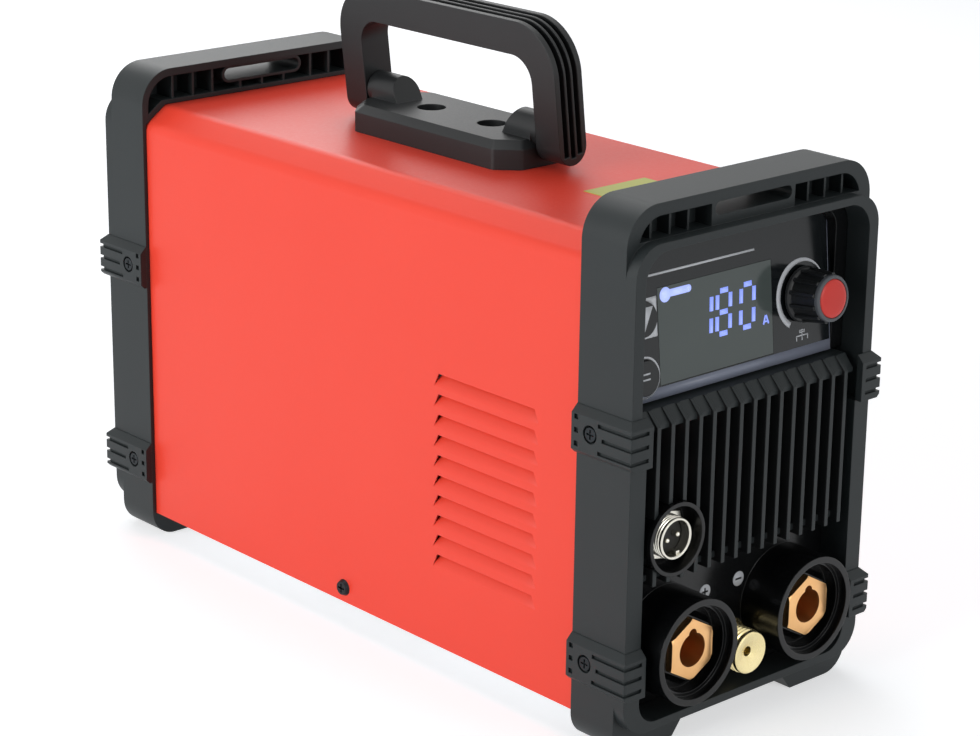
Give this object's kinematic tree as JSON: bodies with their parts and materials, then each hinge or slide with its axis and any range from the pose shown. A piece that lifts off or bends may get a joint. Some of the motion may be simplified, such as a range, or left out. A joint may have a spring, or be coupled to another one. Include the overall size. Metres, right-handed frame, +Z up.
{
  "type": "stick welding inverter",
  "caption": "Portable welding inverter with folding carry handle, tilted display panel, two output sockets, torch connector, gas outlet, fan and rocker switch.",
  "frame": {"origin": "on the ground under the middle of the case, between the feet", "axes": "+Z up, front with the sockets towards -Y, +X to the right seen from the front"},
  "size_m": [0.1308, 0.3262, 0.2461],
  "materials": {
    "charcoal_abs": "fine moulded grain, satin",
    "black_panel": "gloss moulded",
    "black_nylon": "moulded, satin",
    "red_powder_coat": "powder coat, fine orange peel, semi-gloss",
    "zinc_steel": "zinc plated sheet",
    "socket_brass": "turned and milled",
    "gas_brass": "turned, bright",
    "nickel": "nickel plated",
    "black_screw": "black oxide",
    "lcd_glass": "clear window over a grey negative display",
    "knob_red": "moulded red cap",
    "printed_board": "solder mask on glass fibre laminate",
    "copper": "enamelled copper winding",
    "finned_aluminium": "extruded, raw",
    "black_epoxy": "moulded epoxy package",
    "capacitor_sleeve": "shrink sleeve",
    "black_hose": "rubber gas hose",
    "blank_label": "plain yellow vinyl"
  },
  "bodies": {
    "case": {"chassis_tray": "zinc_steel", "shell_cover": "red_powder_coat", "front_frame": "charcoal_abs", "rear_frame": "charcoal_abs", "front_panel": "black_panel", "front_grille": "charcoal_abs", "display_panel": "black_panel", "lcd_window": "lcd_glass", "lcd_module": "zinc_steel", "encoder_body": "zinc_steel", "button_switches": "black_epoxy", "control_board": "printed_board", "negative_socket": "socket_brass", "positive_socket": "socket_brass", "panel_nuts": "zinc_steel", "gas_outlet": "gas_brass", "torch_connector_shell": "nickel", "torch_connector_insert": "black_epoxy", "torch_connector_pins": "nickel", "bumper_front_left_upper": "charcoal_abs", "bumper_front_left_lower": "charcoal_abs", "bumper_front_right_upper": "charcoal_abs", "bumper_front_right_lower": "charcoal_abs", "bumper_rear_left_upper": "charcoal_abs", "bumper_rear_left_lower": "charcoal_abs", "bumper_rear_right_upper": "charcoal_abs", "bumper_rear_right_lower": "charcoal_abs", "bumper_screws": "black_screw", "cover_screws": "black_screw", "handle_base": "black_nylon", "handle_pins": "zinc_steel", "handle_screws": "zinc_steel", "handle_bracket": "zinc_steel", "rear_panel": "black_panel", "fan_housing": "black_nylon", "fan_guard": "black_nylon", "fan_screws": "black_screw", "power_switch_body": "black_nylon", "cable_gland": "black_nylon", "gas_inlet": "gas_brass", "gas_valve": "zinc_steel", "gas_hose": "black_hose", "power_board": "printed_board", "board_standoffs": "socket_brass", "heat_sinks": "finned_aluminium", "power_transistors": "black_epoxy", "filter_capacitors": "capacitor_sleeve", "main_transformer": "copper", "output_choke": "copper", "output_busbars": "socket_brass", "top_label": "blank_label"},
    "handle": {"handle_bail": "black_nylon"},
    "knob_plunger": {"encoder_plunger": "zinc_steel"},
    "knob": {"control_knob": "black_nylon", "knob_cap": "knob_red", "encoder_shaft": "zinc_steel"},
    "mode_key": {"mode_button": "black_nylon"},
    "select_key": {"select_button": "black_nylon"},
    "fan": {"fan_rotor": "black_nylon"},
    "rocker": {"power_switch_rocker": "black_nylon"}
  },
  "joints": [
    {"name": "handle_fold", "type": "hinge", "parent": "case", "child": "handle", "pos_m": [0, 0.0034, 0.2024], "axis": [0, 1, 0], "range_deg": [-83.1, 96.9]},
    {"name": "knob_push", "type": "slide", "parent": "case", "child": "knob_plunger", "axis": [0, 0.9951, -0.0993], "range_m": [0, 0.0006], "stiffness_N_per_m": 1500, "springref_m": -0.0003},
    {"name": "knob_turn", "type": "hinge", "parent": "knob_plunger", "child": "knob", "pos_m": [0.0361, -0.14452, 0.15402], "axis": [0, -0.9951, 0.0993], "continuous": true},
    {"name": "mode_press", "type": "slide", "parent": "case", "child": "mode_key", "axis": [0, 0.9951, -0.0993], "range_m": [0, 0.0008], "stiffness_N_per_m": 800, "springref_m": -0.0003},
    {"name": "select_press", "type": "slide", "parent": "case", "child": "select_key", "axis": [0, 0.9951, -0.0993], "range_m": [0, 0.0008], "stiffness_N_per_m": 800, "springref_m": -0.0003},
    {"name": "fan_spin", "type": "hinge", "parent": "case", "child": "fan", "pos_m": [0, 0.1309, 0.078], "axis": [0, 1, 0], "continuous": true},
    {"name": "switch_rock", "type": "hinge", "parent": "case", "child": "rocker", "pos_m": [-0.026, 0.1427, 0.157], "axis": [1, 0, 0], "range_deg": [0, 20]}
  ]
}
